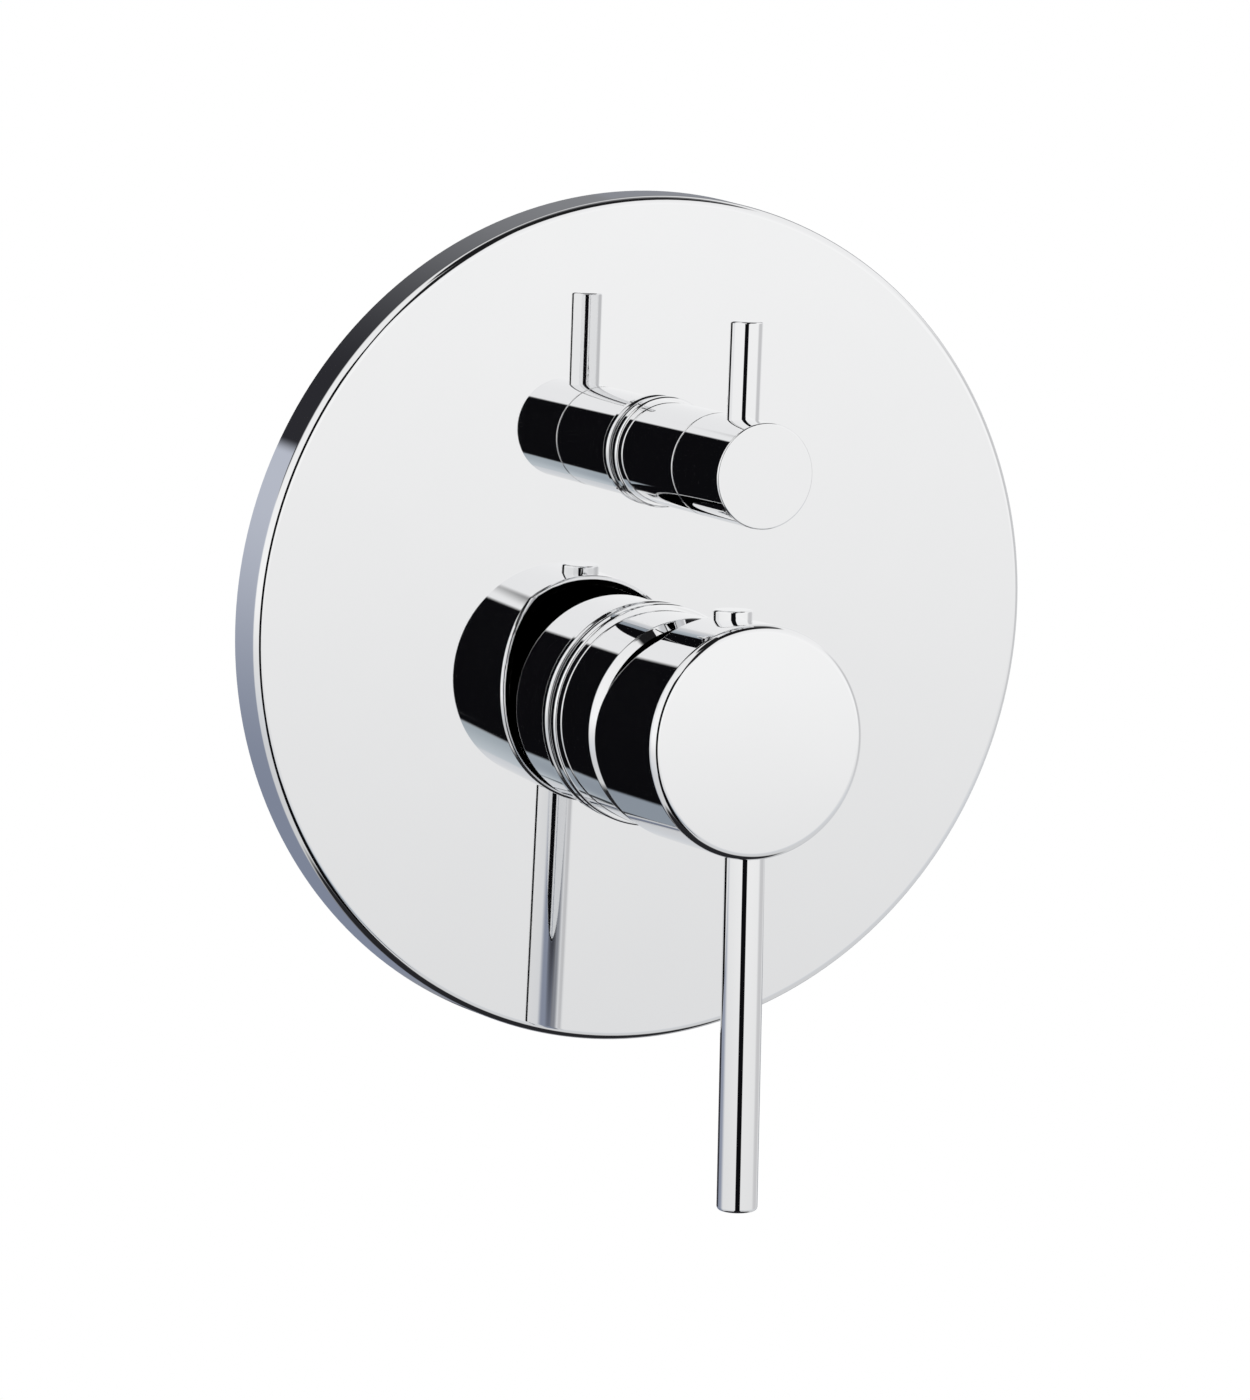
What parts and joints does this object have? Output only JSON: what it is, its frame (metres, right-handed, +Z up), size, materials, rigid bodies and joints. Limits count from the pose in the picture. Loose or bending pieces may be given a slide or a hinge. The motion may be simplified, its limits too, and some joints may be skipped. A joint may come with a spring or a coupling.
{
  "type": "concealed shower mixer",
  "caption": "Concealed shower mixer: round wall plate, single pin-lever handle, small diverter knob with a pin lever, and the brass valve body behind the wall.",
  "frame": {"origin": "centre of the round plate in the plane of the finished wall", "axes": "+X to the right seen from the room, +Y into the wall along the controls' axes, +Z up"},
  "size_m": [0.18, 0.112, 0.2045],
  "materials": {
    "chrome_plate": "polished chrome plating on drawn sheet",
    "chrome_trim": "polished chrome plating on turned and cast metal",
    "brass": "cast and machined, unplated",
    "steel": "turned stainless steel",
    "rubber": "black, smooth",
    "foam": "dark closed-cell foam, matt",
    "ceramic": "white technical ceramic, lapped",
    "white_plastic": "off-white moulded",
    "grey_plastic": "grey moulded"
  },
  "bodies": {
    "fixed": {"escutcheon_plate": "chrome_plate", "plate_gasket": "foam", "main_sleeve": "chrome_trim", "main_foot_seal": "rubber", "cartridge_housing": "grey_plastic", "cartridge_nut": "brass", "fixed_disc": "ceramic", "disc_seal": "rubber", "cartridge_base": "grey_plastic", "base_seals": "rubber", "diverter_sleeve": "chrome_trim", "diverter_foot_seal": "rubber", "diverter_bush": "brass", "bush_washer": "rubber", "diverter_fixed_disc": "ceramic", "diverter_seat_seal": "rubber", "valve_body": "brass"},
    "rotor": {"cartridge_rotor": "white_plastic", "pivot_pin": "steel"},
    "handle": {"handle_body": "chrome_trim", "handle_lever": "chrome_trim", "handle_screw": "steel", "index_plug": "chrome_trim", "spindle": "steel"},
    "disc": {"disc_carrier": "white_plastic", "moving_disc": "ceramic"},
    "diverter": {"diverter_knob": "chrome_trim", "diverter_lever": "chrome_trim", "diverter_screw": "steel", "diverter_spindle": "brass", "stem_seals": "rubber", "stem_clip": "steel", "diverter_moving_disc": "ceramic"}
  },
  "joints": [
    {"name": "temperature", "type": "hinge", "parent": "fixed", "child": "rotor", "pos_m": [0, 0, -0.019], "axis": [0, 1, 0], "range_deg": [-45, 45]},
    {"name": "flow", "type": "hinge", "parent": "rotor", "child": "handle", "pos_m": [0, -0.012, -0.019], "axis": [-1, 0, 0], "range_deg": [0, 23]},
    {"name": "disc_slide", "type": "slide", "parent": "rotor", "child": "disc", "axis": [0, 0, -1], "range_m": [0, 0.0047]},
    {"name": "diverter_turn", "type": "hinge", "parent": "fixed", "child": "diverter", "pos_m": [0, 0, 0.0365], "axis": [0, 1, 0], "range_deg": [0, 90]}
  ],
  "couplings": [
    {"joint": "disc_slide", "follows": "flow", "m_per_rad": 0.011585}
  ]
}
